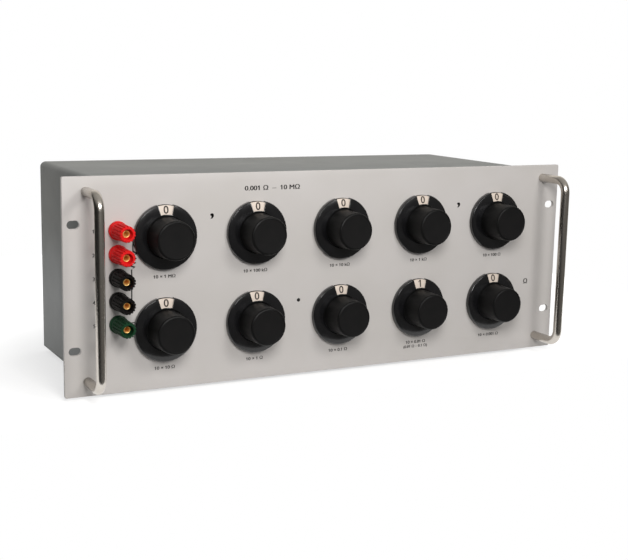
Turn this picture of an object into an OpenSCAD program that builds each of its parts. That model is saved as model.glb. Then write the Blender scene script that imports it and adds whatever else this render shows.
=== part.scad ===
// Rack-mount decade resistance box: ten rotary decades in two rows, five binding posts, two handles.
// The front faces -Y, +X is the viewer's right and +Z is up. The origin is on the bench, below the middle.

/* [Front panel] */
// Width of the front panel
panel_w = 482.6; // [478:0.2:530]
// Height of the front panel
panel_h = 177; // [172:0.5:220]
// Thickness of the front panel
panel_t = 3.2; // [2.9:0.1:6]
// Radius of the panel's four corners
panel_corner_r = 1.5; // [0.5:0.1:6]

/* [Rack slots] */
// Distance from the panel's side edge to a slot's centre
slot_edge = 8.75; // [7:0.05:11]
// Distance between the upper and the lower slots
slot_pitch = 101.6; // [60:0.1:130]
// Width of a slot
slot_w = 6.8; // [5:0.1:8]
// Length of a slot from end to end
slot_l = 10.3; // [8.5:0.1:13]

/* [Case] */
// Overhang of the panel past each side of the case
ear_w = 29; // [26:0.5:34]
// How far the case stays inside the panel's top and bottom edges
case_inset = 2.5; // [1:0.1:5]
// Depth from the panel's front face to the back of the case
case_d = 175; // [120:1:260]
// Thickness of the sheet metal
sheet_t = 1.6; // [1:0.1:2.5]
// Outer radius of the cover's two upper bends
bend_r = 5; // [3:0.1:9]
// Width of the cover's folded lips
lip_w = 13; // [11:0.5:18]

/* [Brackets] */
// Thickness of the two brackets that carry the case on the panel
bracket_t = 2.5; // [2:0.1:4]
// Depth of the bracket leg that lies along the case's side
bracket_leg = 25; // [20:0.5:40]
// Width of the bracket tabs that lie on the panel
tab_w = 16; // [14:0.5:17]
// Height of the bracket tabs that lie on the panel
tab_h = 26; // [16:0.5:28]
// Length of the panel's studs behind the panel
stud_l = 10; // [8:0.5:16]

/* [Case fasteners] */
// Shank radius of the case screws, the panel studs and the terminal studs
screw_r = 1.95; // [1.5:0.05:2.4]
// Shank length of a case screw
screw_l = 6; // [5:0.5:8]
// Head radius of a case screw
screw_head_r = 3.7; // [3:0.1:4.5]
// Head height of a case screw
screw_head_h = 2.2; // [1.5:0.1:3]
// Distance between the case screws in an upright row
screw_pitch_z = 60; // [40:1:65]
// Distance from the case's front and back to the nearest screw below it
screw_inset_y = 36; // [15:1:60]
// Distance across the flats of the small nuts
nut_flats = 7; // [6:0.1:8]
// Thickness of the small nuts
nut_t = 3.2; // [2.4:0.1:4]

/* [Feet] */
// Height of the rubber feet
foot_h = 5; // [3.5:0.5:15]
// Radius of a foot
foot_r = 8.5; // [6:0.5:14]
// Radius of a foot's push-in stem
foot_stem_r = 3; // [2:0.1:4]
// Radius of the bulb that holds the stem inside the case
foot_bulb_r = 4.4; // [4.2:0.1:6]
// Distance from the case's side to a foot's centre
foot_inset_x = 32; // [25:1:60]
// Distance from the case's front and back to a foot's centre
foot_inset_y = 27; // [20:1:50]

/* [Handles] */
// Diameter of the handle bar
handle_d = 7.9; // [7:0.1:10]
// Distance from the panel to the middle of the handle's grip
handle_reach = 35.1; // [30:0.1:60]
// Distance between the two feet of a handle
handle_pitch = 153; // [110:0.5:160]
// Height of the handle's middle above the panel's middle
handle_mid_z = 0; // [-4:0.1:4]
// Distance from the panel's side edge to the handle
handle_edge = 19.05; // [17.5:0.05:21]
// Radius of the handle's bends, along its middle line
handle_bend_r = 11.5; // [8:0.5:18]
// Shank radius of the handle screws
handle_screw_r = 2.45; // [2:0.05:2.8]
// Head radius of the handle screws
handle_screw_head_r = 4.6; // [4:0.1:4.9]
// Depth of the tapped holes in the handle's feet
handle_tap = 14; // [10:0.5:18]

/* [Dial grid] */
// Distance from the panel's left edge to the first column of dials
dial_left = 84; // [83:0.1:92]
// Distance from the panel's right edge to the last column of dials
dial_right = 73.4; // [68:0.1:84]
// Distance between the two rows of dials
dial_pitch_z = 76.4; // [62:0.1:90]
// Number of the dial that is not at zero
turned_dial = 9; // [1:1:10]
// Reading of that dial
turned_steps = 1; // [0:1:10]

/* [Dials] */
// Outer radius of a dial's bezel
bezel_r = 26.9; // [25.5:0.1:29]
// Thickness of the bezel's side wall
bezel_wall = 0.7; // [0.5:0.1:1.2]
// Thickness of the bezel's sloping face
bezel_skin = 0.8; // [0.5:0.1:1.2]
// Height of the bezel's face at its rim, above the panel
bezel_rim_h = 4.4; // [4.2:0.1:7]
// How much the bezel's face rises towards the knob
bezel_rise = 1.4; // [0.8:0.1:3]
// Width of the bevel on the bezel's outer edge
bezel_bevel = 0.6; // [0.2:0.1:0.9]
// Angle of the window in the bezel, one step of the dial
window_deg = 30; // [20:1:34]
// Width of the bezel's strip between the window and the knob
window_strip = 0.8; // [0.5:0.1:2]
// Thickness of the number dial under the bezel
number_t = 0.9; // [0.6:0.1:1.2]
// Thickness of the plate that holds the bezel on the panel
backplate_t = 0.8; // [0.5:0.1:1.2]

/* [Knobs] */
// Radius of the knob at its base
knob_base_r = 17; // [14:0.1:18.5]
// Radius of the knob's grip at its front
knob_front_r = 16; // [13:0.1:16.5]
// Height of the knob's front face above the panel
knob_h = 28.2; // [24:0.1:40]
// Height of the knob's plain foot above the number dial
knob_foot = 1.6; // [1.2:0.1:4]
// Width of the bevel around the knob's front face
knob_bevel = 1.4; // [0.5:0.1:3]
// Length of the shaft inside the knob
knob_grip = 17; // [12:0.5:19]
// Radius of the knob's set screw
set_screw_r = 1.9; // [1.5:0.1:2.4]

/* [Switches] */
// Radius of the switch shaft
shaft_r = 3.175; // [2.9:0.025:3.4]
// Outer radius of the threaded bushing
bushing_r = 4.75; // [4.4:0.05:5.2]
// Distance across the flats of the bushing's nut
bushing_nut_flats = 14.3; // [13:0.1:17]
// Thickness of the lock washer
washer_t = 0.5; // [0.3:0.1:0.8]
// Radius of the switch's mounting plate and of its wafers
switch_r = 24.5; // [23.8:0.1:26]
// Thickness of the mounting plate
plate_t = 1.6; // [1.2:0.1:2.5]
// Radius of the detent wheel
wheel_r = 9.5; // [8:0.1:10.5]
// Thickness of the detent wheel
wheel_t = 3; // [2:0.1:4]
// Thickness of a wafer
wafer_t = 1.6; // [1:0.1:2.4]
// Distance from the panel's back to the front wafer
front_wafer_d = 11; // [10:0.5:20]
// Room between the front and the rear wafer
wafer_room = 26.4; // [24:0.1:60]
// Reach of the wiper arm from the shaft's middle
wiper_reach = 14; // [11:0.1:14.4]
// Thickness of the wiper arm
wiper_t = 2; // [1:0.1:3]

/* [Switch fasteners] */
// Distance of the tie bolts from the shaft's middle
tie_ring_r = 21.2; // [20.5:0.1:21.4]
// Radius of a tie bolt
tie_r = 1.4; // [1:0.1:1.7]
// Radius of the sleeves that space the wafers
sleeve_r = 2.4; // [2:0.1:2.8]
// Distance across the flats of a tie bolt's nut
tie_nut_flats = 5.5; // [4.5:0.1:5.8]
// Thickness of a tie bolt's nut
tie_nut_t = 2.4; // [1.5:0.1:3.5]

/* [Resistors] */
// Resistors in one decade
resistor_n = 10; // [8:1:10]
// Distance of the resistors from the shaft's middle
resistor_ring_r = 16; // [15.8:0.1:16.4]
// Radius of a resistor's body
resistor_r = 2.2; // [1.2:0.1:2.4]
// Length of a resistor's body
resistor_l = 16; // [8:0.5:18]
// Radius of a resistor's wire leads
lead_r = 0.4; // [0.25:0.05:0.6]
// Radius of the bare wires that join the decades
wire_r = 0.8; // [0.5:0.1:1]

/* [Binding posts] */
// Distance from the panel's side edge to the column of posts
post_edge = 44.5; // [43.5:0.1:46]
// Height of the middle post above the panel's middle
post_mid_z = 6.8; // [3:0.1:9]
// Distance between posts
post_pitch = 19.05; // [17:0.05:19.5]
// Radius of a post's insulating base
base_r = 7.6; // [7.3:0.1:8.2]
// Height of the insulating base
base_h = 4; // [3:0.1:6]
// Radius of the base's shoulder inside the panel
base_shoulder_r = 4; // [3:0.1:5]
// Radius of the insulating washer behind the panel
post_washer_r = 6; // [5:0.1:6.5]
// Thickness of the insulating washer behind the panel
post_washer_t = 1.5; // [1:0.1:2.5]
// Radius of the cap at its lower end
cap_base_r = 7; // [6.9:0.05:7.3]
// Radius of the cap at its tip
cap_tip_r = 6.6; // [5.6:0.05:6.8]
// Height of the cap's tip above the panel
cap_h = 26; // [21:0.1:30]
// Width of the bevel around the cap's tip
cap_bevel = 0.7; // [0.3:0.1:1.2]
// Height of the plain ring below the cap's flutes
cap_plain = 3; // [1:0.1:6]
// Number of flutes around the cap
cap_flute_n = 16; // [10:1:24]
// Radius of the tool that cuts a cap's flute
cap_flute_r = 0.8; // [0.5:0.05:0.8]
// Depth of a cap's flute
cap_flute_depth = 0.8; // [0.1:0.05:0.8]
// Radius of the socket's metal tube
tube_r = 2.8; // [2.6:0.05:3.2]
// Radius of the plug socket
socket_r = 2; // [1.5:0.05:2.15]
// Depth of the plug socket
socket_d = 12.8; // [9:0.1:13]
// How far the socket's end lies inside the cap's tip
socket_inset = 3.8; // [0.5:0.1:6]
// Radius of the clamping flange on the metal tube
flange_r = 4.6; // [3.6:0.1:5.2]
// Thickness of the clamping flange
flange_t = 1; // [0.6:0.1:1.4]
// Radius of the hole across the tube for a bare wire
wire_hole_r = 1.2; // [0.6:0.1:1.3]
// Radius of the clamping collar inside the cap
collar_r = 5.2; // [4.9:0.1:5.5]
// Thickness of the clamping collar
collar_t = 1.3; // [0.8:0.1:2]

/* [Clearances] */
// Radial gap of a shaft or tube that turns in its hole
running_gap = 0.08; // [0.02:0.01:0.1]
// Radial gap of a piece that is pressed, screwed or glued in
fit_gap = 0.05; // [0.02:0.01:0.1]
// Radial gap of a screw in a plain hole
hole_gap = 0.25; // [0.15:0.05:0.4]
// Gap between pieces that move past each other
dial_gap = 0.45; // [0.3:0.05:0.5]
// Gap between the knob and the bezel around it
knob_gap = 0.6; // [0.4:0.1:1]
// Gap between the brackets and the cover's bends and lips
bracket_gap = 0.8; // [0.3:0.1:2]

/* [Hidden] */
$fn = 64;
eps = 1;

// Case
case_w = panel_w - 2 * ear_w;
case_h = panel_h - 2 * case_inset;
rear_y = case_d - sheet_t;
tap_spare = 2;
side_in = case_w / 2 - sheet_t;
lip_top = -case_h / 2 + 2 * sheet_t;
bracket_half = case_h / 2 - max(bend_r, 2 * sheet_t) - bracket_gap;
tab_mid_x = side_in - (tab_w + bracket_t) / 2;
tab_mid_z = bracket_half - tab_h / 2;
bracket_screw_y = panel_t + bracket_leg / 2;
lip_screw_x = side_in - lip_w / 2;
foot_taper = 1;

// Whole object: the handles reach furthest forward and the rear screws furthest back
front_reach = handle_reach + handle_d / 2;
panel_y = (front_reach - case_d - screw_head_h) / 2;
panel_z = foot_h + case_h / 2;

// Dials are numbered along the upper row, then along the lower one
columns = 5;
last_dial = 2 * columns;
dial_pitch_x = (panel_w - dial_left - dial_right) / (columns - 1);

// Dial stack, measured forward from the panel's front face
opening_r = knob_base_r + knob_gap;
bezel_top = bezel_rim_h + bezel_rise;
number_top = bezel_top - bezel_skin - dial_gap;
number_rim = bezel_rim_h - bezel_skin - dial_gap;
number_r = bezel_r - bezel_wall - dial_gap;
window_in_r = opening_r + window_strip;
bushing_top = number_top - number_t - dial_gap;
bushing_nut_t = bushing_top - backplate_t - washer_t;
step_deg = 30;
shaft_top = number_top + knob_grip;
set_screw_z = number_top + knob_grip / 2;
set_screw_l = 8;

// Switch, measured backward from the panel's back face
wheel_d = plate_t + dial_gap;
rear_wafer_d = front_wafer_d + wafer_t + wafer_room;
switch_back = rear_wafer_d + wafer_t;
wiper_d = front_wafer_d + wafer_t + dial_gap;
shaft_spare = 1.4;
shaft_end = switch_back + shaft_spare;
tie_deg = 15;
notch_n = 12;
notch_r = 1.2;
stop_in_r = wheel_r + dial_gap;
stop_lap = 0.8;
stop_reach = stop_in_r + stop_lap;
stop_lug_w = 3;
stop_t = 2.4;
stop_deg = -60;
stop_half_w = stop_in_r * sin(step_deg) - stop_lug_w / 2 - dial_gap;
wiper_hub_wall = 4;
wiper_hub_r = shaft_r + wiper_hub_wall;
wiper_w = 3;
spring_t = 0.8;
spring_w = 6;
spring_in = stop_reach + dial_gap;
wire_y = panel_t + switch_back + wire_r + fit_gap;
wire_lap = 8;
wire_end = switch_r - wire_lap;
wire_step = 4;

// Binding posts, measured forward from the panel's front face
post_x = post_edge - panel_w / 2;
tube_top = cap_h - socket_inset;
flange_top = base_h + flange_t;
collar_z = flange_top + dial_gap;
collar_top = collar_z + collar_t;
cap_z = base_h + dial_gap;
cap_room_r = collar_r + dial_gap;
cap_mouth_gap = 1.5;
cap_mouth_r = tube_r + cap_mouth_gap;
tube_show = 1.6;
cap_mouth_d = socket_inset + tube_show;
cap_tilt = atan((cap_base_r - cap_tip_r) / (cap_h - cap_z));
wire_hole_z = flange_top + wire_hole_r + dial_gap;
post_stud_d = 14;
earth_post = 5;

DIALS = [1 : last_dial];
POSTS = [1 : 5];
BANKS = [0, 180];
CAP_COLOURS = ["crimson", "crimson", "#202020", "#202020", "darkgreen"];
FIXED = ["front_panel", "top_cover", "bottom_plate", "rear_panel", "side_brackets", "left_handle",
         "right_handle", "handle_screws", "cover_screws", "rubber_feet", "dial_backplates", "dial_bezels",
         "bushing_nuts", "switch_frames", "switch_wafers", "decade_resistors", "link_wires", "post_bases",
         "post_studs", "hex_nuts"];

function dial_x(k) = dial_left - panel_w / 2 + dial_pitch_x * ((k - 1) % columns);
function dial_z(k) = dial_pitch_z * (k <= columns ? 0.5 : -0.5);
function reading(k) = k == turned_dial ? turned_steps : 0;
function post_z(k) = post_mid_z + post_pitch * (3 - k);
function behind(d) = -panel_t - d;
function hex_r(flats) = flats / 2 / cos(30);

// Panel frame: the origin is the middle of the panel's front face, and +Y runs into the case
module in_panel() {
    translate([0, panel_y, panel_z]) children();
}

// Local frame on the panel's front face: x right, y up, z towards the viewer
module on_face(x, z) {
    in_panel() translate([x, 0, z]) rotate([90, 0, 0]) children();
}

module on_dial(k) {
    on_face(dial_x(k), dial_z(k)) children();
}

// Pieces that turn with the knob, at the dial's reading
module on_turned_dial(k) {
    on_dial(k) rotate(-step_deg * reading(k)) children();
}

module on_post(k) {
    on_face(post_x, post_z(k)) children();
}

// A flat outline drawn in x and z, extruded from depth y0 to depth y1
module along_y(y0, y1) {
    in_panel() translate([0, y1, 0]) rotate([90, 0, 0]) linear_extrude(y1 - y0) children();
}

module rounded_rectangle(w, h, r) {
    square([w - 2 * r, h], center = true);
    square([w, h - 2 * r], center = true);
    for (x = [-1, 1], y = [-1, 1]) {
        translate([x * (w / 2 - r), y * (h / 2 - r)]) circle(r);
    }
}

// Cross-section of the case with its two upper bends
module case_outline(inset) {
    w = case_w - 2 * inset;
    top = case_h / 2 - inset;
    r = bend_r - inset;
    translate([-w / 2, -case_h / 2]) square([w, case_h / 2 + top - r]);
    translate([-w / 2 + r, 0]) square([w - 2 * r, top]);
    for (x = [-1, 1]) {
        translate([x * (w / 2 - r), top - r]) circle(r);
    }
}

module ring(r_in, r_out, z0, z1) {
    translate([0, 0, z0]) difference() {
        cylinder(r = r_out, h = z1 - z0);
        translate([0, 0, -eps]) cylinder(r = r_in, h = z1 - z0 + 2 * eps);
    }
}

module hex_nut(flats, t, bore_r) {
    difference() {
        cylinder(r = hex_r(flats), h = t, $fn = 6);
        translate([0, 0, -eps]) cylinder(r = bore_r, h = t + 2 * eps);
    }
}

// Front panel
module slot() {
    square([slot_l - slot_w, slot_w], center = true);
    for (x = [-1, 1]) {
        translate([x * (slot_l - slot_w) / 2, 0]) circle(slot_w / 2);
    }
}

module panel_holes() {
    for (x = [-1, 1], z = [-1, 1]) {
        translate([x * (panel_w / 2 - slot_edge), z * slot_pitch / 2]) slot();
        translate([x * (panel_w / 2 - handle_edge), handle_mid_z + z * handle_pitch / 2])
            circle(handle_screw_r + hole_gap);
    }
    for (k = DIALS) {
        translate([dial_x(k), dial_z(k)]) circle(bushing_r + hole_gap);
    }
    for (k = POSTS) {
        translate([post_x, post_z(k)]) circle(base_shoulder_r + hole_gap);
    }
}

module handle_countersink(grow) {
    depth = handle_screw_head_r - handle_screw_r;
    translate([0, 0, behind(0)])
        cylinder(r1 = handle_screw_head_r + grow, r2 = handle_screw_r + grow, h = depth);
}

module each_handle_screw() {
    for (x = [-1, 1], z = [-1, 1]) {
        on_face(x * (panel_w / 2 - handle_edge), handle_mid_z + z * handle_pitch / 2) children();
    }
}

module each_panel_stud() {
    for (x = [-1, 1], z = [-1, 1]) {
        on_face(x * tab_mid_x, z * tab_mid_z) children();
    }
}

module front_panel() {
    color("#c9c5c0") {
        difference() {
            along_y(0, panel_t) difference() {
                rounded_rectangle(panel_w, panel_h, panel_corner_r);
                panel_holes();
            }
            each_handle_screw() handle_countersink(fit_gap);
        }
        each_panel_stud() translate([0, 0, behind(stud_l)]) cylinder(r = screw_r, h = stud_l);
    }
}

// Case
module each_bracket_screw() {
    for (s = [-1, 1], z = [-1 : 1]) {
        in_panel() translate([s * case_w / 2, bracket_screw_y, z * screw_pitch_z]) rotate([0, s * 90, 0])
            children();
    }
}

module each_bottom_screw() {
    for (s = [-1, 1], y = [panel_t + screw_inset_y, (panel_t + rear_y) / 2, rear_y - screw_inset_y]) {
        in_panel() translate([s * lip_screw_x, y, -case_h / 2]) rotate([180, 0, 0]) children();
    }
}

module each_rear_screw() {
    for (s = [-1, 1], z = [-1 : 1]) {
        in_panel() translate([s * lip_screw_x, case_d, z * screw_pitch_z]) rotate([-90, 0, 0]) children();
    }
}

module each_foot() {
    for (s = [-1, 1], y = [panel_t + foot_inset_y, rear_y - foot_inset_y]) {
        in_panel() translate([s * (case_w / 2 - foot_inset_x), y, -case_h / 2]) children();
    }
}

// A hole for a case screw: wide through the outer sheet, close in the piece behind it
module plain_hole() {
    translate([0, 0, -sheet_t - eps / 4]) cylinder(r = screw_r + hole_gap, h = sheet_t + eps);
}

module tapped_hole() {
    translate([0, 0, -screw_l - eps]) cylinder(r = screw_r + fit_gap, h = screw_l + eps);
}

module top_cover() {
    color("#8a8d8b") difference() {
        union() {
            along_y(panel_t, rear_y) difference() {
                case_outline(0);
                case_outline(sheet_t);
                translate([-case_w, -case_h / 2 - eps]) square([2 * case_w, sheet_t + eps]);
            }
            along_y(panel_t, rear_y) for (s = [-1, 1]) {
                translate([s * (side_in - lip_w / 2), lip_top - sheet_t / 2])
                    square([lip_w + sheet_t, sheet_t], center = true);
            }
            along_y(rear_y - sheet_t, rear_y) difference() {
                case_outline(sheet_t / 2);
                translate([lip_w - side_in, -case_h])
                    square([2 * (side_in - lip_w), 1.5 * case_h - sheet_t - lip_w]);
                translate([-case_w, -case_h / 2 - eps]) square([2 * case_w, sheet_t + eps]);
            }
        }
        each_bracket_screw() plain_hole();
        each_bottom_screw() tapped_hole();
        each_rear_screw() tapped_hole();
    }
}

module bottom_plate() {
    color("#8a8d8b") difference() {
        along_y(panel_t, rear_y) translate([-case_w / 2, -case_h / 2]) square([case_w, sheet_t]);
        each_bottom_screw() plain_hole();
        each_foot() translate([0, 0, -eps]) cylinder(r = foot_stem_r + fit_gap, h = sheet_t + 2 * eps);
    }
}

module rear_panel() {
    color("#8a8d8b") difference() {
        along_y(rear_y, case_d) case_outline(0);
        each_rear_screw() plain_hole();
    }
}

module side_brackets() {
    color("lightsteelblue") for (s = [-1, 1]) {
        difference() {
            mirror([s < 0 ? 1 : 0, 0, 0]) in_panel() {
                translate([side_in - bracket_t, panel_t, -bracket_half])
                    cube([bracket_t, bracket_leg, 2 * bracket_half]);
                for (z = [-1, 1]) {
                    translate([side_in - tab_w, panel_t, z * tab_mid_z - tab_h / 2])
                        cube([tab_w, bracket_t, tab_h]);
                }
            }
            each_bracket_screw() tapped_hole();
            each_panel_stud() translate([0, 0, behind(stud_l)])
                cylinder(r = screw_r + hole_gap, h = stud_l + eps);
        }
    }
}

module case_screw() {
    rotate_extrude() {
        polygon([[0, -screw_l], [screw_r, -screw_l], [screw_r, 0], [screw_head_r, 0],
                 [screw_head_r, screw_head_h / 2], [screw_head_r / 2, screw_head_h], [0, screw_head_h]]);
    }
}

module cover_screws() {
    color("silver") {
        each_bracket_screw() case_screw();
        each_bottom_screw() case_screw();
        each_rear_screw() case_screw();
    }
}

module rubber_feet() {
    bulb_h = foot_bulb_r;
    color("#2a2a2a") each_foot() rotate_extrude() {
        polygon([[0, -foot_h], [foot_r - foot_taper, -foot_h], [foot_r, 0], [foot_stem_r, 0],
                 [foot_stem_r, sheet_t],
                 [foot_bulb_r, sheet_t], [foot_stem_r, sheet_t + bulb_h], [0, sheet_t + bulb_h]]);
    }
}

// Handles
module handle(side) {
    r = handle_d / 2;
    straight = handle_reach - handle_bend_r;
    grip = handle_pitch - 2 * handle_bend_r;
    color("gainsboro") in_panel() translate([side * (panel_w / 2 - handle_edge), 0, handle_mid_z]) {
        translate([0, -handle_reach, -grip / 2]) cylinder(r = r, h = grip);
        for (s = [-1, 1]) {
            translate([0, -straight, s * grip / 2]) rotate([0, 90, 0]) rotate(s > 0 ? 180 : 270)
                rotate_extrude(angle = 90) translate([handle_bend_r, 0]) circle(r);
            translate([0, 0, s * handle_pitch / 2]) rotate([90, 0, 0]) difference() {
                cylinder(r = r, h = straight);
                translate([0, 0, -eps]) cylinder(r = handle_screw_r + fit_gap, h = handle_tap + eps);
            }
        }
    }
}

module handle_screws() {
    color("silver") each_handle_screw() {
        handle_countersink(0);
        translate([0, 0, behind(0)]) cylinder(r = handle_screw_r, h = panel_t + handle_tap - tap_spare);
    }
}

// Dials
module dial_backplates() {
    color("#303030") for (k = DIALS) {
        on_dial(k) ring(bushing_r + hole_gap, bezel_r - bezel_wall - fit_gap, 0, backplate_t);
    }
}

// A wedge that opens the bezel's face and rim above the number dial
module window_cut() {
    half = window_deg / 2;
    reach = bezel_r + eps;
    linear_extrude(bezel_top + eps) difference() {
        polygon([[0, 0], [reach * tan(half), reach], [-reach * tan(half), reach]]);
        circle(window_in_r);
    }
}

module dial_bezels() {
    wall_in = bezel_r - bezel_wall;
    color("#1c1c1c") for (k = DIALS) {
        on_dial(k) difference() {
            rotate_extrude() {
                polygon([[wall_in, 0], [bezel_r, 0], [bezel_r, bezel_rim_h - bezel_bevel],
                         [bezel_r - bezel_bevel, bezel_rim_h], [opening_r, bezel_top],
                         [opening_r, bezel_top - bezel_skin], [wall_in, bezel_rim_h - bezel_skin]]);
            }
            window_cut();
        }
    }
}

module bushing_nuts() {
    color("silver") for (k = DIALS) {
        on_dial(k) {
            ring(bushing_r + fit_gap, bushing_nut_flats / 2, backplate_t, backplate_t + washer_t);
            translate([0, 0, backplate_t + washer_t])
                hex_nut(bushing_nut_flats, bushing_nut_t, bushing_r + fit_gap);
        }
    }
}

module number_dial(k) {
    bore = shaft_r + fit_gap;
    rim_foot = backplate_t + dial_gap;
    color("#efe6d2") on_turned_dial(k) rotate_extrude() {
        polygon([[bore, number_top - number_t], [bore, number_top], [opening_r, number_top],
                 [number_r, number_rim], [number_r, rim_foot], [number_r - number_t, rim_foot],
                 [number_r - number_t, number_rim - number_t], [opening_r, number_top - number_t]]);
    }
}

module knob(k) {
    bore = shaft_r + fit_gap;
    color("#161616") on_turned_dial(k) difference() {
        rotate_extrude() {
            polygon([[bore, number_top], [knob_base_r, number_top], [knob_base_r, number_top + knob_foot],
                     [knob_front_r, knob_h - knob_bevel], [knob_front_r - knob_bevel, knob_h], [0, knob_h],
                     [0, shaft_top + fit_gap], [bore, shaft_top + fit_gap]]);
        }
        translate([0, 0, set_screw_z]) rotate([90, 0, 0])
            cylinder(r = set_screw_r + fit_gap, h = knob_base_r + eps);
    }
}

// Switches
module detent_wheel() {
    translate([0, 0, behind(wheel_d + wheel_t)]) linear_extrude(wheel_t) difference() {
        union() {
            circle(wheel_r);
            rotate(-90) translate([0, -stop_lug_w / 2]) square([stop_reach, stop_lug_w]);
        }
        circle(shaft_r + fit_gap);
        for (i = [1 : notch_n]) {
            rotate(360 * i / notch_n + step_deg / 2) translate([wheel_r + notch_r / 2, 0]) circle(notch_r);
        }
    }
}

module wiper() {
    translate([0, 0, behind(wiper_d + wiper_t)]) linear_extrude(wiper_t) difference() {
        union() {
            circle(wiper_hub_r);
            translate([-wiper_w / 2, 0]) square([wiper_w, wiper_reach]);
        }
        circle(shaft_r + fit_gap);
    }
}

module switch_shaft(k) {
    color("silver") on_turned_dial(k) {
        translate([0, 0, behind(shaft_end)]) cylinder(r = shaft_r, h = shaft_top + panel_t + shaft_end);
        detent_wheel();
        wiper();
        translate([0, -shaft_r - fit_gap, set_screw_z]) rotate([90, 0, 0])
            cylinder(r = set_screw_r, h = set_screw_l);
    }
}

module each_tie() {
    for (bank = BANKS) {
        rotate(tie_deg + bank) translate([tie_ring_r, 0, 0]) children();
    }
}

// Mounting plate with its threaded bushing and the block that stops the detent wheel
module mounting_plate() {
    difference() {
        union() {
            translate([0, 0, behind(plate_t)]) cylinder(r = switch_r, h = plate_t);
            translate([0, 0, behind(plate_t)]) cylinder(r = bushing_r, h = bushing_top + panel_t + plate_t);
            rotate(stop_deg) translate([stop_in_r, -stop_half_w, behind(wheel_d + wheel_t)])
                cube([stop_t, 2 * stop_half_w, wheel_d + wheel_t - plate_t / 2]);
        }
        translate([0, 0, behind(plate_t) - eps])
            cylinder(r = shaft_r + running_gap, h = bushing_top + panel_t + plate_t + 2 * eps);
        each_tie() translate([0, 0, behind(plate_t) - eps])
            cylinder(r = tie_r + fit_gap, h = plate_t + 2 * eps);
    }
}

// Leaf spring that stands beside the detent wheel
module detent_spring() {
    rise = wheel_d + wheel_t - plate_t;
    rotate(120) translate([spring_in, -spring_w / 2, behind(plate_t + rise)]) {
        cube([spring_t, spring_w, rise]);
        translate([0, 0, rise - spring_t]) cube([spring_w, spring_w, spring_t]);
    }
}

module tie_bolt() {
    end = switch_back + tie_nut_t;
    translate([0, 0, behind(end)]) cylinder(r = tie_r, h = end);
    ring(tie_r + fit_gap, sleeve_r, behind(front_wafer_d), behind(plate_t));
    ring(tie_r + fit_gap, sleeve_r, behind(rear_wafer_d), behind(front_wafer_d + wafer_t));
    translate([0, 0, behind(switch_back + tie_nut_t)]) hex_nut(tie_nut_flats, tie_nut_t, tie_r + fit_gap);
}

module switch_frames() {
    color("lightsteelblue") for (k = DIALS) {
        on_dial(k) {
            mounting_plate();
            detent_spring();
            each_tie() tie_bolt();
        }
    }
}

module each_resistor() {
    for (i = [0 : resistor_n - 1]) {
        rotate(90 - step_deg * i) translate([resistor_ring_r, 0, 0]) children();
    }
}

module wafer(d, bore_r) {
    translate([0, 0, behind(d + wafer_t)]) linear_extrude(wafer_t) difference() {
        circle(switch_r);
        circle(bore_r);
        each_tie() circle(tie_r + fit_gap);
        each_resistor() circle(lead_r + fit_gap);
    }
}

module switch_wafers() {
    color("#b8864b") for (k = DIALS) {
        on_dial(k) {
            wafer(front_wafer_d, shaft_r + running_gap);
            wafer(rear_wafer_d, shaft_r + running_gap);
        }
    }
}

module resistor() {
    middle = front_wafer_d + wafer_t + wafer_room / 2;
    lead_l = wafer_room + 2 * wafer_t;
    translate([0, 0, behind(middle)]) {
        cylinder(r = resistor_r, h = resistor_l, center = true);
        cylinder(r = lead_r, h = lead_l, center = true);
    }
}

module decade_resistors() {
    color("steelblue") for (k = DIALS) {
        on_dial(k) each_resistor() resistor();
    }
}

// Bare wires that join the decades in series and run to the posts, a little swollen at their bends
module wire(points) {
    for (i = [0 : len(points) - 2]) {
        v = points[i + 1] - points[i];
        translate(points[i]) rotate([0, acos(v.z / norm(v)), atan2(v.y, v.x)])
            cylinder(r = wire_r, h = norm(v));
    }
    for (i = [1 : len(points) - 2]) {
        translate(points[i]) sphere(wire_r + fit_gap);
    }
}

module link_wires() {
    stud_y = panel_t + post_stud_d + fit_gap;
    earth_y = stud_y + wire_r;
    color("goldenrod") in_panel() {
        for (k = DIALS) if (k % columns > 0) {
            wire([[dial_x(k) + wire_end, wire_y, dial_z(k)],
                  [dial_x(k + 1) - wire_end, wire_y, dial_z(k)]]);
        }
        wire([[dial_x(columns), wire_y, dial_z(columns) - wire_end], [dial_x(columns), wire_y, 0],
              [dial_x(columns + 1), wire_y, 0],
              [dial_x(columns + 1), wire_y, dial_z(columns + 1) + wire_end]]);
        for (k = [1, 2]) {
            wire([[post_x, stud_y, post_z(k)], [post_x, wire_y, post_z(k)],
                  [dial_x(1) - wire_end, wire_y, post_z(k)]]);
        }
        for (k = [3, 4]) {
            y = wire_y + wire_step * (5 - k);
            z = dial_z(last_dial) - switch_r - wire_step * (5 - k);
            x = dial_x(last_dial) + wire_step * (2 * k - 7);
            wire([[post_x, stud_y, post_z(k)], [post_x, y, post_z(k)], [post_x, y, z], [x, y, z],
                  [x, y, dial_z(last_dial) - wire_end], [x, wire_y - wire_r, dial_z(last_dial) - wire_end]]);
        }
        wire([[post_x, earth_y, post_z(earth_post)], [-tab_mid_x, earth_y, -tab_mid_z],
              [-tab_mid_x, panel_t + stud_l + fit_gap, -tab_mid_z]]);
    }
}

// Binding posts
module post_bases() {
    bore = screw_r + fit_gap;
    color("#303030") for (k = POSTS) {
        on_post(k) {
            ring(bore, base_r, 0, base_h);
            ring(bore, base_shoulder_r, behind(0) + hole_gap, 0);
            ring(bore, post_washer_r, behind(post_washer_t), behind(0));
        }
    }
}

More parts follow.
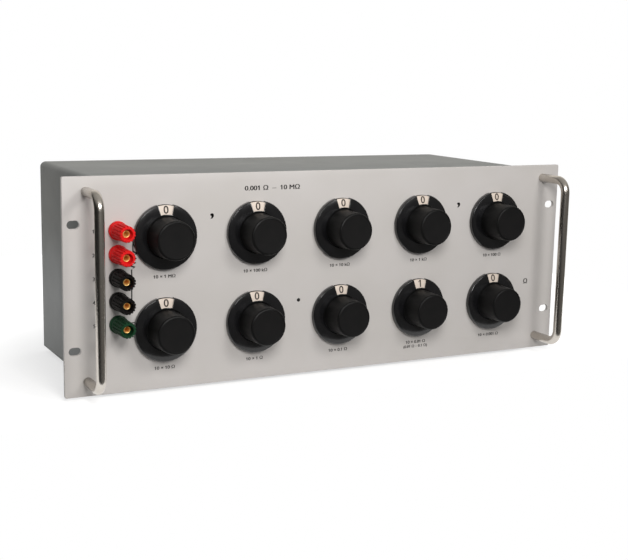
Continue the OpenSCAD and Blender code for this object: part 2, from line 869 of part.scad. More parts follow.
module post_studs() {
    color("gold") for (k = POSTS) {
        on_post(k) difference() {
            union() {
                translate([0, 0, behind(post_stud_d)])
                    cylinder(r = screw_r, h = base_h + panel_t + post_stud_d);
                translate([0, 0, base_h]) cylinder(r = flange_r, h = flange_t);
                translate([0, 0, base_h]) cylinder(r = tube_r, h = tube_top - base_h);
            }
            translate([0, 0, tube_top - socket_d]) cylinder(r = socket_r, h = socket_d + eps);
            translate([0, 0, wire_hole_z]) rotate([90, 0, 0])
                cylinder(r = wire_hole_r, h = 2 * tube_r + 2 * eps, center = true);
        }
    }
}

module hex_nuts() {
    bore = screw_r + fit_gap;
    color("silver") {
        for (k = POSTS) {
            on_post(k) translate([0, 0, behind(post_washer_t + nut_t)]) hex_nut(nut_flats, nut_t, bore);
        }
        each_panel_stud() translate([0, 0, behind(bracket_t + nut_t)]) hex_nut(nut_flats, nut_t, bore);
    }
}

module post_collar(k) {
    color("gold") on_post(k) ring(tube_r + running_gap, collar_r, collar_z, collar_top);
}

module cap_flutes() {
    for (i = [1 : cap_flute_n]) {
        rotate(360 * i / cap_flute_n) translate([cap_base_r + cap_flute_r - cap_flute_depth, 0, cap_z])
            rotate([0, -cap_tilt, 0]) translate([0, 0, cap_plain]) cylinder(r = cap_flute_r, h = cap_h);
    }
}

module post_cap(k) {
    bore = tube_r + running_gap;
    room_top = collar_top + fit_gap;
    color(CAP_COLOURS[k - 1]) on_post(k) difference() {
        rotate_extrude() {
            polygon([[cap_room_r, cap_z], [cap_base_r, cap_z], [cap_tip_r, cap_h - cap_bevel],
                     [cap_tip_r - cap_bevel, cap_h], [cap_mouth_r, cap_h], [cap_mouth_r, cap_h - cap_mouth_d],
                     [bore, cap_h - cap_mouth_d], [bore, room_top], [cap_room_r, room_top]]);
        }
        cap_flutes();
    }
}

front_panel();
top_cover();
bottom_plate();
rear_panel();
side_brackets();
handle(-1);  // left_handle
handle(1);  // right_handle
handle_screws();
cover_screws();
rubber_feet();
dial_backplates();
dial_bezels();
bushing_nuts();
switch_frames();
switch_wafers();
decade_resistors();
link_wires();
post_bases();
post_studs();
hex_nuts();
for (k = DIALS) {
    knob(k);
    number_dial(k);
    switch_shaft(k);
}
for (k = POSTS) {
    post_cap(k);
    post_collar(k);
}
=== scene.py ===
# %% [markdown]
# # A decade resistance box for a rack
# The object is a laboratory box that holds ten rotary decades of resistors behind one wide front panel.
# Its solids come from a CAD model, so every size and place is already settled. This lesson models the
# pieces that can be seen again, with softer edges and finer detail, and gives each its finish.
# Loading comes first.

import math

import bmesh
import bpy
from mathutils import Matrix, Vector


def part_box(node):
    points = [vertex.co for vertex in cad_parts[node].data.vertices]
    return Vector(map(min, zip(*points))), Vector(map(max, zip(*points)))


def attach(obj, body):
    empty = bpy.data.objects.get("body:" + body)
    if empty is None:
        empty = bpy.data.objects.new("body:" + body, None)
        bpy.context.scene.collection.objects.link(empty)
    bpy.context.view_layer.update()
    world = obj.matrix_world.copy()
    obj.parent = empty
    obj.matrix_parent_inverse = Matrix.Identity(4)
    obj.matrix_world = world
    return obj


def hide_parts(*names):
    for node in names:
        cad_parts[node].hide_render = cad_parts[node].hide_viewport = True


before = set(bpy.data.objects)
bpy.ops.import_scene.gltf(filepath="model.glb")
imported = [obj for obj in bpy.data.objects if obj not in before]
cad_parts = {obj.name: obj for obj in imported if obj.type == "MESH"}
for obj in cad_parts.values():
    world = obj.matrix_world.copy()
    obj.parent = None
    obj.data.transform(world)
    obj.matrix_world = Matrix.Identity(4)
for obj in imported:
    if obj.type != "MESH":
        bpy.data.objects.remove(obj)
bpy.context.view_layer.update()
MM = 0.001

# %% [markdown]
# The camera stands to the left of the box and a little above it. Its place, turn and lens were worked out
# from the corners and rack slots of the panel, whose spacing is a rack standard. A camera in Blender looks
# along its own negative Z axis, so an upright view has about 80 degrees of turn about X.

# %% Camera
CAMERA_PLACE = (-0.48722, -0.96310, 0.26675)
CAMERA_TURN = (79.7539, -1.1609, -27.3842)
bpy.ops.object.select_all(action="DESELECT")
bpy.ops.object.camera_add(location=CAMERA_PLACE, rotation=[math.radians(a) for a in CAMERA_TURN])
camera = bpy.context.object
camera.name = "photo_camera"
camera.data.lens = 67.608
camera.data.sensor_width = 36
bpy.context.scene.camera = camera
print("camera at", tuple(camera.location), "lens", camera.data.lens)

# %% [markdown]
# Everything on the front is placed from the panel. The panel's front face looks along -Y, so a point is
# named by how far it lies right of the panel's middle, how far above it, and how far in front of the face.
# The centres of the dials and posts are read from the CAD solids, so that nothing has to be fitted by eye.

# %% Places on the panel
panel_low, panel_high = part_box("front_panel")
PANEL_FRONT = panel_low.y
PANEL_MID = (panel_low.z + panel_high.z) / 2
PANEL_T = 3.2
DIALS = range(1, 11)
POSTS = range(1, 6)


def middle_of(node):
    """The middle of a CAD node's box, right of the panel's middle and above it, in mm."""
    low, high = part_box(node)
    return (low.x + high.x) / 2 / MM, ((low.z + high.z) / 2 - PANEL_MID) / MM


def on_face(right, up, turn=0):
    """A frame on the panel's front face: x right, y up, z towards the viewer."""
    stand = Matrix.Translation((right * MM, PANEL_FRONT, PANEL_MID + up * MM))
    return stand @ Matrix.Rotation(math.radians(90), 4, "X") @ Matrix.Rotation(math.radians(turn), 4, "Z")


dial_at = {k: middle_of(f"number_dial_{k}") for k in DIALS}
post_at = {k: middle_of(f"post_cap_{k}") for k in POSTS}
print("first dial", dial_at[1], "last dial", dial_at[10], "posts", post_at)

# %% [markdown]
# A few hand tools come next. Blender's operators act on whatever is selected, so a piece is first taken in
# hand: all else is let go and it becomes the active object. In edit mode its faces, edges or corners are
# then chosen by where they are, as one would click them on the screen.

# %% Hand tools
MERGE = 0.0005 * MM


def take(piece):
    """Make a piece the only one selected."""
    bpy.ops.object.select_all(action="DESELECT")
    piece.select_set(True)
    bpy.context.view_layer.objects.active = piece
    return piece


def choose(piece, kind, test):
    """In edit mode, select the faces, edges or corners whose middle passes a test."""
    bpy.ops.mesh.select_mode(type=kind)
    bpy.ops.mesh.select_all(action="DESELECT")
    mesh = bmesh.from_edit_mesh(piece.data)
    for part in {"FACE": mesh.faces, "EDGE": mesh.edges, "VERT": mesh.verts}[kind]:
        corners = [part] if kind == "VERT" else list(part.verts)
        middle = sum((corner.co for corner in corners), Vector()) / len(corners)
        part.select_set(bool(test(middle, part)))
    mesh.select_flush_mode()
    bmesh.update_edit_mesh(piece.data)


def close_up(piece):
    """In edit mode, merge the doubles and turn all faces outwards, then leave edit mode."""
    bpy.ops.mesh.select_mode(type="VERT")
    bpy.ops.mesh.select_all(action="SELECT")
    bpy.ops.mesh.remove_doubles(threshold=MERGE)
    bpy.ops.mesh.normals_make_consistent(inside=False)
    bpy.ops.object.mode_set(mode="OBJECT")
    return piece


print("corners closer than", MERGE, "m are merged")

# %% Placing, copying and joining
def put(piece, place):
    """Move a finished piece to a place, and keep the place in its mesh."""
    take(piece)
    piece.matrix_world = place
    bpy.ops.object.transform_apply(location=True, rotation=True, scale=True)
    return piece


def copy_of(piece, name, place):
    """A copy with its own mesh, at a place."""
    take(piece)
    bpy.ops.object.duplicate()
    made = bpy.context.object
    made.name = name
    made.data.name = name
    return put(made, place)


def join(name, pieces):
    """Several meshes made one piece."""
    take(pieces[0])
    for piece in pieces:
        piece.select_set(True)
    if len(pieces) > 1:
        bpy.ops.object.join()
    made = bpy.context.object
    made.name = name
    made.data.name = name
    return made


def put_away(*pieces):
    """Remove a pattern or a cutter that has done its work."""
    for piece in pieces:
        bpy.data.objects.remove(piece, do_unlink=True)


print("tools for placing, copying and joining ready")

# %% [markdown]
# Most of the small pieces are turned parts: knobs, bezels, posts, screws and feet. On a lathe the outline
# is what matters, so the outline is drawn point by point by extruding one corner, and then spun about the
# Z axis. An outline that starts and ends on the axis closes by itself, and a ring repeats its first point.

# %% Drawing and turning
def push(step):
    """In edit mode, extrude what is selected by a step in metres."""
    bpy.ops.mesh.extrude_region_move(TRANSFORM_OT_translate={"value": step})


def draw(name, points):
    """A line of corners through points in mm, left in edit mode."""
    bpy.ops.object.select_all(action="DESELECT")
    bpy.ops.mesh.primitive_plane_add(size=MM)
    piece = bpy.context.object
    piece.name = name
    bpy.ops.object.mode_set(mode="EDIT")
    bpy.ops.mesh.select_mode(type="VERT")
    bpy.ops.mesh.select_all(action="SELECT")
    bpy.ops.mesh.merge(type="CENTER")
    here = Vector(points[0]) * MM
    bpy.ops.transform.translate(value=here)
    for point in points[1:]:
        there = Vector(point) * MM
        push(there - here)
        here = there
    return piece


def turned(name, outline, steps=96):
    """An outline of (radius, height) points in mm, spun once around the Z axis."""
    piece = draw(name, [(radius, 0, height) for radius, height in outline])
    bpy.ops.mesh.select_all(action="SELECT")
    bpy.ops.mesh.spin(steps=steps, angle=2 * math.pi, center=(0, 0, 0), axis=(0, 0, 1))
    return close_up(piece)


print("lathe ready")

# %% Rounding, sawing and blocks
def soften(piece, width, segments=2, angle=28):
    """Round every edge that turns by more than an angle."""
    take(piece)
    rounding = piece.modifiers.new("rounding", "BEVEL")
    rounding.width = width * MM
    rounding.segments = segments
    rounding.limit_method = "ANGLE"
    rounding.angle_limit = math.radians(angle)
    rounding.harden_normals = False
    bpy.ops.object.modifier_apply(modifier=rounding.name)
    return piece


def cut(piece, *cutters):
    """Take the shapes of cutters out of a piece."""
    cutter = join("cutter", list(cutters))
    take(piece)
    saw = piece.modifiers.new("saw", "BOOLEAN")
    saw.object = cutter
    saw.operation = "DIFFERENCE"
    saw.solver = "EXACT"
    bpy.ops.object.modifier_apply(modifier=saw.name)
    put_away(cutter)
    return piece


def smooth(piece, angle=32):
    """Shade a piece smooth, apart from its sharp edges."""
    take(piece)
    bpy.ops.object.shade_smooth_by_angle(angle=math.radians(angle))
    return piece


def block(name, low, high):
    """A block between two corners in mm, right, depth and up from the panel's middle."""
    low, high = Vector(low), Vector(high)
    bpy.ops.object.select_all(action="DESELECT")
    bpy.ops.mesh.primitive_cube_add(size=1)
    piece = bpy.context.object
    piece.name = name
    middle = (low + high) / 2 * MM + Vector((0, PANEL_FRONT, PANEL_MID))
    put(piece, Matrix.Translation(middle) @ Matrix.Diagonal((*((high - low) * MM), 1)))
    return piece


print("file and saw ready")

# %% [markdown]
# Finishes are procedural: each is a small net of nodes that ends in one shader. Sums are easier to read as
# Python than as boxes and wires, so one class wraps a socket and turns + and * into Math nodes. Any other
# node comes from one method that takes its type, its settings and the values of its sockets.

# %% A value on a surface
class Value:
    """A number that changes over a surface."""

    def __init__(self, finish, socket):
        self.finish = finish
        self.socket = socket

    def sum(self, operation, first, second):
        return self.finish.node("ShaderNodeMath", {"operation": operation}, {0: first, 1: second})

    def __add__(self, other):
        return self.sum("ADD", self, other)

    def __radd__(self, other):
        return self.sum("ADD", other, self)

    def __mul__(self, other):
        return self.sum("MULTIPLY", self, other)

    def __rmul__(self, other):
        return self.sum("MULTIPLY", other, self)


print("sums that a value knows", [name for name in vars(Value) if name.endswith(("add__", "mul__"))])

# %% A finish and its nodes
class Finish:
    """A material and the nodes that make it."""

    def __init__(self, name):
        self.material = bpy.data.materials.new(name)
        self.material.use_nodes = True
        self.tree = self.material.node_tree
        self.tree.nodes.clear()

    def node(self, kind, settings=None, sockets=None, output=0):
        made = self.tree.nodes.new(kind)
        for name, value in (settings or {}).items():
            if name == "stops":
                ramp = made.color_ramp
                while len(ramp.elements) < len(value):
                    ramp.elements.new(0.5)
                for element, (place, level) in zip(ramp.elements, value):
                    element.position = place
                    element.color = (level, level, level, 1)
            else:
                setattr(made, name, value)
        for name, value in (sockets or {}).items():
            if isinstance(value, Value):
                self.tree.links.new(value.socket, made.inputs[name])
            else:
                made.inputs[name].default_value = value
        return Value(self, made.outputs[output]) if len(made.outputs) else None

    def place(self, scale):
        """Object coordinates in metres, stretched."""
        object_place = self.node("ShaderNodeTexCoord", output="Object")
        return self.node("ShaderNodeMapping", {}, {"Vector": object_place, "Scale": scale})

    def noise(self, size, detail=2.0, roughness=0.5, stretch=(1, 1, 1)):
        """Noise whose patches are about a size in mm across."""
        sockets = {"Vector": self.place(stretch), "Scale": 1 / (size * MM)}
        sockets.update({"Detail": detail, "Roughness": roughness})
        return self.node("ShaderNodeTexNoise", {}, sockets)

    def blend(self, share, first, second):
        """A colour between two colours."""
        return self.node("ShaderNodeMix", {"data_type": "RGBA"}, {0: share, 6: first, 7: second}, output=2)

    def ramp(self, value, *stops):
        """A value sent through grey levels at given places."""
        return self.node("ShaderNodeValToRGB", {"stops": stops}, {"Fac": value})

    def bump(self, height, depth, strength=1.0):
        """A surface that rises by a depth in mm where the height is 1."""
        sockets = {"Height": height, "Distance": depth * MM, "Strength": strength}
        return self.node("ShaderNodeBump", {}, sockets)

    def ray(self, kind):
        """1 where a kind of ray meets the surface, and otherwise 0."""
        return self.node("ShaderNodeLightPath", output=f"Is {kind} Ray")

    def shade(self, **sockets):
        """The shader at the end. Underscores in a name stand for spaces."""
        named = {name.replace("_", " "): value for name, value in sockets.items()}
        surface = self.node("ShaderNodeBsdfPrincipled", {}, named)
        self.node("ShaderNodeOutputMaterial", {}, {"Surface": surface})
        return self.material


def colour(red, green, blue):
    """A screen colour from 0 to 255 as the light that it stands for."""
    levels = [level / 255 for level in (red, green, blue)]
    return tuple(v / 12.92 if v <= 0.04045 else ((v + 0.055) / 1.055) ** 2.4 for v in levels) + (1,)


print("mid grey is", colour(128, 128, 128))

# %% [markdown]
# The panel is an aluminium plate with a light, warm grey powder coat. Seen closely such a coat has a fine
# orange-peel surface, and its grey drifts by a percent or two. The case has the same kind of coat in a
# darker grey. Both are made from three noises: one for the drift, one for the peel and one for the gloss.

# %% Painted finishes
def powder_coat(name, main, drift, peel_size, peel_depth, gloss):
    finish = Finish(name)
    patches = finish.noise(60, 3)
    smudges = finish.noise(25, 4, 0.6)
    peel = finish.noise(peel_size, 2, 0.55)
    paint = finish.blend(finish.ramp(patches, (0.35, 0), (0.65, 1)), main, drift)
    return finish.shade(
        Base_Color=paint,
        Roughness=gloss + 0.12 * smudges,
        Normal=finish.bump(peel, peel_depth, 0.6),
        Specular_IOR_Level=0.4,
    )


panel_paint = powder_coat("light_grey_coat", colour(200, 196, 193), colour(196, 192, 188), 1.6, 0.03, 0.36)
case_paint = powder_coat("mid_grey_coat", colour(121, 124, 122), colour(116, 119, 117), 0.9, 0.04, 0.42)
print("painted finishes", panel_paint.name, case_paint.name)

# %% [markdown]
# Polished steel and chrome get their look from what they mirror. The bar of a handle is drawn and then
# polished along its length, so very fine streaks run along it and blur the mirror a little. Fingers leave
# dull patches. The screws are zinc plated: duller, with a cloudy grain. The gilt of the posts is satin: it
# scatters part of the light, so it counts as less than half a mirror.

# %% Metal finishes
def drawn_metal(name, main, drift, dull, streak, stretch, metal=1.0):
    finish = Finish(name)
    streaks = finish.noise(0.35, 3, 0.6, stretch)
    patches = finish.noise(14, 4, 0.6)
    tone = finish.blend(finish.ramp(patches, (0.3, 0), (0.7, 1)), main, drift)
    return finish.shade(
        Base_Color=tone,
        Metallic=metal,
        Roughness=dull + 0.10 * patches + streak * streaks,
        Normal=finish.bump(streaks, 0.002, 0.2),
    )


ALONG_Z, ALONG_Y, EVEN = (1, 1, 0.02), (1, 0.03, 1), (1, 1, 1)
handle_chrome = drawn_metal("polished_bar", colour(202, 197, 190), colour(188, 181, 172), 0.17, 0.06, ALONG_Z)
zinc = drawn_metal("zinc_plate", colour(196, 196, 192), colour(170, 170, 166), 0.24, 0.12, EVEN)
aluminium = drawn_metal("bare_sheet", colour(205, 206, 207), colour(188, 190, 192), 0.28, 0.16, ALONG_Y)
gilt = drawn_metal("gilt_brass", colour(255, 212, 132), colour(250, 194, 106), 0.2, 0.12, EVEN, 0.45)
tinned = drawn_metal("tinned_copper", colour(214, 190, 160), colour(206, 205, 200), 0.25, 0.10, EVEN)
print("metal finishes", [m.name for m in (handle_chrome, zinc, aluminium, gilt, tinned)])

# %% [markdown]
# The plastics are moulded. A bezel or knob comes out of a polished mould, so it is glossy, with faint swirls
# from handling. The knob's front is left matt by a sparked mould. The post caps are a bright, slightly waxy
# plastic, and the number dials are cream with a faint satin grain. Rubber is dull and dusty.

# %% Moulded finishes
def moulded(name, main, drift, gloss, smear, grain_size, grain_depth, coat=0.0, shine=0.5):
    finish = Finish(name)
    clouds = finish.noise(9, 4, 0.6)
    handling = finish.noise(3.5, 5, 0.7, (1, 1, 0.35))
    grain = finish.noise(grain_size, 3, 0.6)
    tone = finish.blend(finish.ramp(clouds, (0.3, 0), (0.7, 1)), main, drift)
    return finish.shade(
        Base_Color=tone,
        Roughness=gloss + smear * handling,
        Normal=finish.bump(grain, grain_depth, 0.5),
        Coat_Weight=coat,
        Coat_Roughness=0.08,
        Specular_IOR_Level=shine,
    )


bezel_black = moulded("gloss_black", colour(15, 15, 16), colour(21, 21, 23), 0.1, 0.22, 0.8, 0.004, 0.25)
knob_black = moulded("satin_black", colour(13, 13, 13), colour(17, 17, 17), 0.34, 0.2, 0.7, 0.008, 0, 0.14)
knob_matt = moulded("matt_black", colour(20, 20, 20), colour(24, 23, 23), 0.56, 0.14, 0.25, 0.03, 0, 0.12)
post_black = moulded("post_black", colour(16, 14, 14), colour(21, 19, 19), 0.42, 0.14, 0.6, 0.01, 0, 0.1)
post_red = moulded("post_red", colour(216, 26, 28), colour(222, 35, 36), 0.42, 0.14, 0.6, 0.01, 0, 0.08)
post_green = moulded("post_green", colour(19, 55, 33), colour(26, 64, 41), 0.42, 0.14, 0.6, 0.01, 0, 0.1)
dial_cream = moulded("dial_cream", colour(219, 206, 193), colour(213, 199, 185), 0.42, 0.10, 0.5, 0.006)
rubber = moulded("foot_rubber", colour(38, 38, 38), colour(48, 47, 46), 0.68, 0.16, 0.4, 0.05)
MOULDED = (bezel_black, knob_black, knob_matt, post_black, post_red, post_green, dial_cream, rubber)
print("moulded finishes", [finish.name for finish in MOULDED])

# %% [markdown]
# Inside the case, out of sight in most views, the wafers are a woven brown laminate and the resistors are
# dipped in blue lacquer. They are finished with care too, because a part may later be opened and looked into.
# The ink on the panel is a dense, slightly uneven black, and the ink on the dials is a dark brown.

# %% Finishes inside the case, and ink
def laminate(name, main, weave_colour):
    finish = Finish(name)
    across = finish.noise(0.8, 2, 0.5, (1, 1, 0.08))
    along = finish.noise(0.8, 2, 0.5, (0.08, 1, 1))
    weave = across * along
    return finish.shade(
        Base_Color=finish.blend(finish.ramp(weave, (0.15, 0), (0.4, 1)), main, weave_colour),
        Roughness=0.42 + 0.3 * weave,
        Normal=finish.bump(weave, 0.02, 0.5),
    )


wafer_brown = laminate("brown_laminate", colour(150, 104, 58), colour(176, 130, 78))
lacquer = moulded("blue_lacquer", colour(58, 96, 140), colour(70, 110, 152), 0.30, 0.20, 1.2, 0.03)
ink = moulded("black_ink", colour(16, 14, 14), colour(24, 22, 20), 0.48, 0.12, 0.3, 0.004)
brown_ink = moulded("dial_ink", colour(38, 26, 18), colour(52, 36, 25), 0.50, 0.10, 0.3, 0.004)
print("inner finishes", wafer_brown.name, lacquer.name, ink.name, brown_ink.name)

# %% [markdown]
# Dressing a piece does three things at once: it gives the finish, it names the CAD body that the piece rides
# on, and it says which CAD solids the piece replaces. The inner solids are shown as they are, and only change
# their finish.

# %% Dressing
def dress(piece, finish, body, slot, *nodes):
    piece.data.materials.clear()
    piece.data.materials.append(finish)
    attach(piece, body)
    if nodes:
        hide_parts(*nodes)
    return piece


INNER = {
    "side_brackets": aluminium,
    "dial_backplates": post_black,
    "bushing_nuts": zinc,
    "switch_frames": aluminium,
    "switch_wafers": wafer_brown,
    "decade_resistors": lacquer,
    "link_wires": tinned,
    "hex_nuts": zinc,
    **{f"switch_shaft_{k}": zinc for k in DIALS},
    **{f"post_collar_{k}": gilt for k in POSTS},
}
for node, finish in INNER.items():
    for material_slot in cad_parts[node].material_slots:
        material_slot.material = finish
print("inner solids dressed", len(INNER))

# %% [markdown]
# The front panel is a plate 3.2 mm thick with four rack slots. A block gets rounded corners and then a
# small break on all its front and back edges, because a coated edge is never sharp and its thin highlight
# is what makes it read as metal. The holes are sawn last, all with one cutter, so that their edges stay
# crisp. Four threaded studs stand out behind, for the brackets that carry the case.

# %% Front panel plate
PANEL_W, PANEL_H = 482.6, 177.0
CORNER_R, EDGE_BREAK = 1.5, 0.35


def runs_deep(middle, edge):
    """Whether an edge runs from front to back."""
    return abs(edge.verts[0].co.y - edge.verts[1].co.y) > MM


panel = block("panel_plate", (-PANEL_W / 2, 0, -PANEL_H / 2), (PANEL_W / 2, PANEL_T, PANEL_H / 2))
bpy.ops.object.mode_set(mode="EDIT")
choose(panel, "EDGE", runs_deep)
bpy.ops.mesh.bevel(offset=CORNER_R * MM, segments=6, affect="EDGES")
choose(panel, "EDGE", lambda middle, edge: not runs_deep(middle, edge))
bpy.ops.mesh.bevel(offset=EDGE_BREAK * MM, segments=3, affect="EDGES")
close_up(panel)
print("plate", len(panel.data.polygons), "faces")

# %% Holes of the panel
HANDLE_X, BAR_PITCH = 222.25, 153.0
SIGNS = [(x, z) for x in (-1, 1) for z in (-1, 1)]
SLOT_AT = [(x * 232.55, z * 50.8) for x, z in SIGNS]
HANDLE_AT = [(x * HANDLE_X, z * BAR_PITCH / 2) for x, z in SIGNS]
STUD_AT = [(x * 201.45, z * 67.2) for x, z in SIGNS]
slot_cutter = block("slot", (-5.15, -4, -3.4), (5.15, 8, 3.4))
bpy.ops.object.mode_set(mode="EDIT")
choose(slot_cutter, "EDGE", runs_deep)
bpy.ops.mesh.bevel(offset=3.395 * MM, segments=12, affect="EDGES")
close_up(slot_cutter)
cutters = [copy_of(slot_cutter, "slot", Matrix.Translation((x * MM, 0, z * MM))) for x, z in SLOT_AT]
dial_hole = turned("dial_hole", [(0, -6), (5.0, -6), (5.0, 3), (0, 3)], 48)
cutters += [copy_of(dial_hole, "dial_hole", on_face(*dial_at[k])) for k in DIALS]
post_hole = turned("post_hole", [(0, -6), (4.25, -6), (4.25, 3), (0, 3)], 48)
cutters += [copy_of(post_hole, "post_hole", on_face(*post_at[k])) for k in POSTS]
sink = turned("sink", [(0, -6), (4.65, -6), (4.65, -PANEL_T), (2.7, -1.25), (2.7, 3), (0, 3)], 48)
cutters += [copy_of(sink, "sink", on_face(*at)) for at in HANDLE_AT]
cut(panel, *cutters)
put_away(slot_cutter, dial_hole, post_hole, sink)
print("panel with", len(cutters), "holes")

# %% Studs of the panel
stud = turned("stud", [(0, -13.2), (1.55, -13.2), (1.95, -12.8), (1.95, -3.1), (0, -3.1)], 32)
studs = [copy_of(stud, "stud", on_face(*at)) for at in STUD_AT]
panel = smooth(join("panel_plate", [panel, *studs]))
put_away(stud)
dress(panel, panel_paint, "box", "panel_paint", "front_panel")
print("panel with", len(studs), "studs,", len(panel.data.vertices), "corners")

# %% [markdown]
# The cover is one sheet folded over the top and both sides, with lips turned in below and behind. Folding is
# easiest to follow as a line: the outer skin's outline is drawn across the case and extruded along its depth.
# The lips at the back are extruded inwards, and a Solidify modifier gives the sheet its thickness inwards.

# %% Folded cover
HALF_W, CASE_TOP, CASE_LOW, CASE_BACK = 212.3, 86.0, -86.0, 173.4
SHEET, BEND, LIP_IN = 1.6, 5.0, 196.9
LIP_SHRINK = (0.9312, 1, 0.9143)
arc = [(HALF_W - BEND + BEND * math.sin(math.radians(a)), CASE_TOP - BEND + BEND * math.cos(math.radians(a)))
       for a in range(0, 91, 10)]
right_half = [*arc, (HALF_W, CASE_LOW + SHEET), (LIP_IN, CASE_LOW + SHEET)]
skin = [(-x, PANEL_T, z) for x, z in reversed(right_half)] + [(x, PANEL_T, z) for x, z in right_half]
cover = draw("folded_cover", skin)
bpy.ops.mesh.select_all(action="SELECT")
push((0, (CASE_BACK - PANEL_T) * MM, 0))


def at_the_back(middle, edge):
    """Whether an edge lies along the back of the top or a side, not along a lower lip."""
    behind = min(v.co.y for v in edge.verts) > (CASE_BACK - 1) * MM
    return behind and middle.z > (CASE_LOW + SHEET + 0.01) * MM


choose(cover, "EDGE", at_the_back)
push((0, 0, 0))
bpy.ops.transform.resize(value=LIP_SHRINK, center_override=(0, 0, (CASE_LOW + SHEET) * MM))
close_up(cover)
put(cover, Matrix.Translation((0, PANEL_FRONT, PANEL_MID)))
print("cover skin", [round(v / MM, 2) for v in cover.dimensions])

# %% Thickness and edges of the cover
def face_outwards(piece):
    """Turn the skin so that its top faces up, because Solidify thickens against the normals."""
    take(piece)
    top = max(piece.data.polygons, key=lambda face: face.center.z + face.area)
    if top.normal.z < 0:
        bpy.ops.object.mode_set(mode="EDIT")
        bpy.ops.mesh.select_all(action="SELECT")
        bpy.ops.mesh.flip_normals()
        bpy.ops.object.mode_set(mode="OBJECT")
    return piece


face_outwards(cover)
sheet = cover.modifiers.new("sheet", "SOLIDIFY")
sheet.thickness = SHEET * MM
sheet.offset = -1
bpy.ops.object.modifier_apply(modifier=sheet.name)
smooth(soften(cover, 0.25, 2, 40))
dress(cover, case_paint, "box", "case_paint", "top_cover")
print("cover", [round(v / MM, 2) for v in cover.dimensions], len(cover.data.polygons), "faces")

# %% [markdown]
# The bottom and the back of the case are plain plates that are screwed to the cover's lips. They are blocks
# with broken edges, and the back has the same two rounded upper corners as the cover's bends.

# %% Bottom plate and rear panel
bottom = block("bottom_sheet", (-HALF_W, PANEL_T, CASE_LOW), (HALF_W, CASE_BACK, CASE_LOW + SHEET))
foot_hole = turned("foot_hole", [(0, -3), (3.05, -3), (3.05, 3), (0, 3)], 32)
FOOT_AT = [(x * 180.3, y) for x in (-1, 1) for y in (30.2, 146.4)]


def below(x, y):
    """A frame on the underside of the case, with z up."""
    return Matrix.Translation((x * MM, PANEL_FRONT + y * MM, PANEL_MID + CASE_LOW * MM))


cut(bottom, *[copy_of(foot_hole, "foot_hole", below(*at)) for at in FOOT_AT])
put_away(foot_hole)
smooth(soften(bottom, 0.2, 2, 50))
dress(bottom, case_paint, "box", "case_paint", "bottom_plate")
rear = block("rear_sheet", (-HALF_W, CASE_BACK, CASE_LOW), (HALF_W, CASE_BACK + SHEET, CASE_TOP))
bpy.ops.object.mode_set(mode="EDIT")
choose(rear, "EDGE", lambda middle, edge: runs_deep(middle, edge) and middle.z > PANEL_MID)
bpy.ops.mesh.bevel(offset=BEND * MM, segments=9, affect="EDGES")
close_up(rear)
smooth(soften(rear, 0.25, 2, 40))
dress(rear, case_paint, "box", "case_paint", "rear_panel")
print("bottom", len(bottom.data.polygons), "faces, rear", len(rear.data.polygons), "faces")

# %% [markdown]
# A handle is a round bar bent twice. Bending by hand means pushing a ring of corners out of the panel, then
# spinning it a quarter turn about the centre of the bend, and so on to the other foot. Each spin takes the
# ring that is still selected, so the bar grows from one end to the other. The ends are filled last.

# %% Handles
BAR_R, REACH, BAR_BEND = 3.95, 35.1, 11.5
STRAIGHT, GRIP = REACH - BAR_BEND, BAR_PITCH - 2 * BAR_BEND


def quarter(depth, up):
    """Spin what is selected a quarter turn about a line along X, in mm."""
    bpy.ops.mesh.spin(steps=14, angle=math.pi / 2, center=Vector((0, depth, up)) * MM, axis=(1, 0, 0))


bpy.ops.object.select_all(action="DESELECT")
foot_low = -BAR_PITCH / 2
bpy.ops.mesh.primitive_circle_add(vertices=48, radius=BAR_R * MM, location=(0, 0, foot_low * MM),
                                  rotation=(math.radians(90), 0, 0))
bar = bpy.context.object
put(bar, bar.matrix_world.copy())
bpy.ops.object.mode_set(mode="EDIT")
bpy.ops.mesh.select_all(action="SELECT")
push(Vector((0, -STRAIGHT, 0)) * MM)
quarter(-STRAIGHT, foot_low + BAR_BEND)
push(Vector((0, 0, GRIP)) * MM)
quarter(-STRAIGHT, foot_low + BAR_BEND + GRIP)
push(Vector((0, STRAIGHT, 0)) * MM)
bpy.ops.mesh.select_all(action="SELECT")
bpy.ops.mesh.remove_doubles(threshold=MERGE)
bpy.ops.mesh.fill_holes(sides=0)
close_up(bar)
soften(bar, 0.3, 2, 60)
print("bar", [round(v / MM, 2) for v in bar.dimensions], len(bar.data.polygons), "faces")

# %% Both handles
tap = turned("tap", [(0, -1), (2.5, -1), (2.5, 14), (0, 14)], 32)
for side, node in ((-1, "left_handle"), (1, "right_handle")):
    handle = copy_of(bar, f"bar_{node}", Matrix.Translation((side * HANDLE_X * MM, PANEL_FRONT, PANEL_MID)))
    cut(handle, *[copy_of(tap, "tap", on_face(*at)) for at in HANDLE_AT if at[0] * side > 0])
    smooth(handle, 40)
    dress(handle, handle_chrome, "box", "handle_chrome", node)
put_away(bar, tap)

# %% [markdown]
# Each dial has a thin black bezel that is fixed to the panel. Its face rises gently towards the knob, and a
# window one step wide is open above. The ring is turned, and the window is a wedge taken out of it: the
# wedge is a block narrowed at one end, less a turned disc that leaves the strip next to the knob.

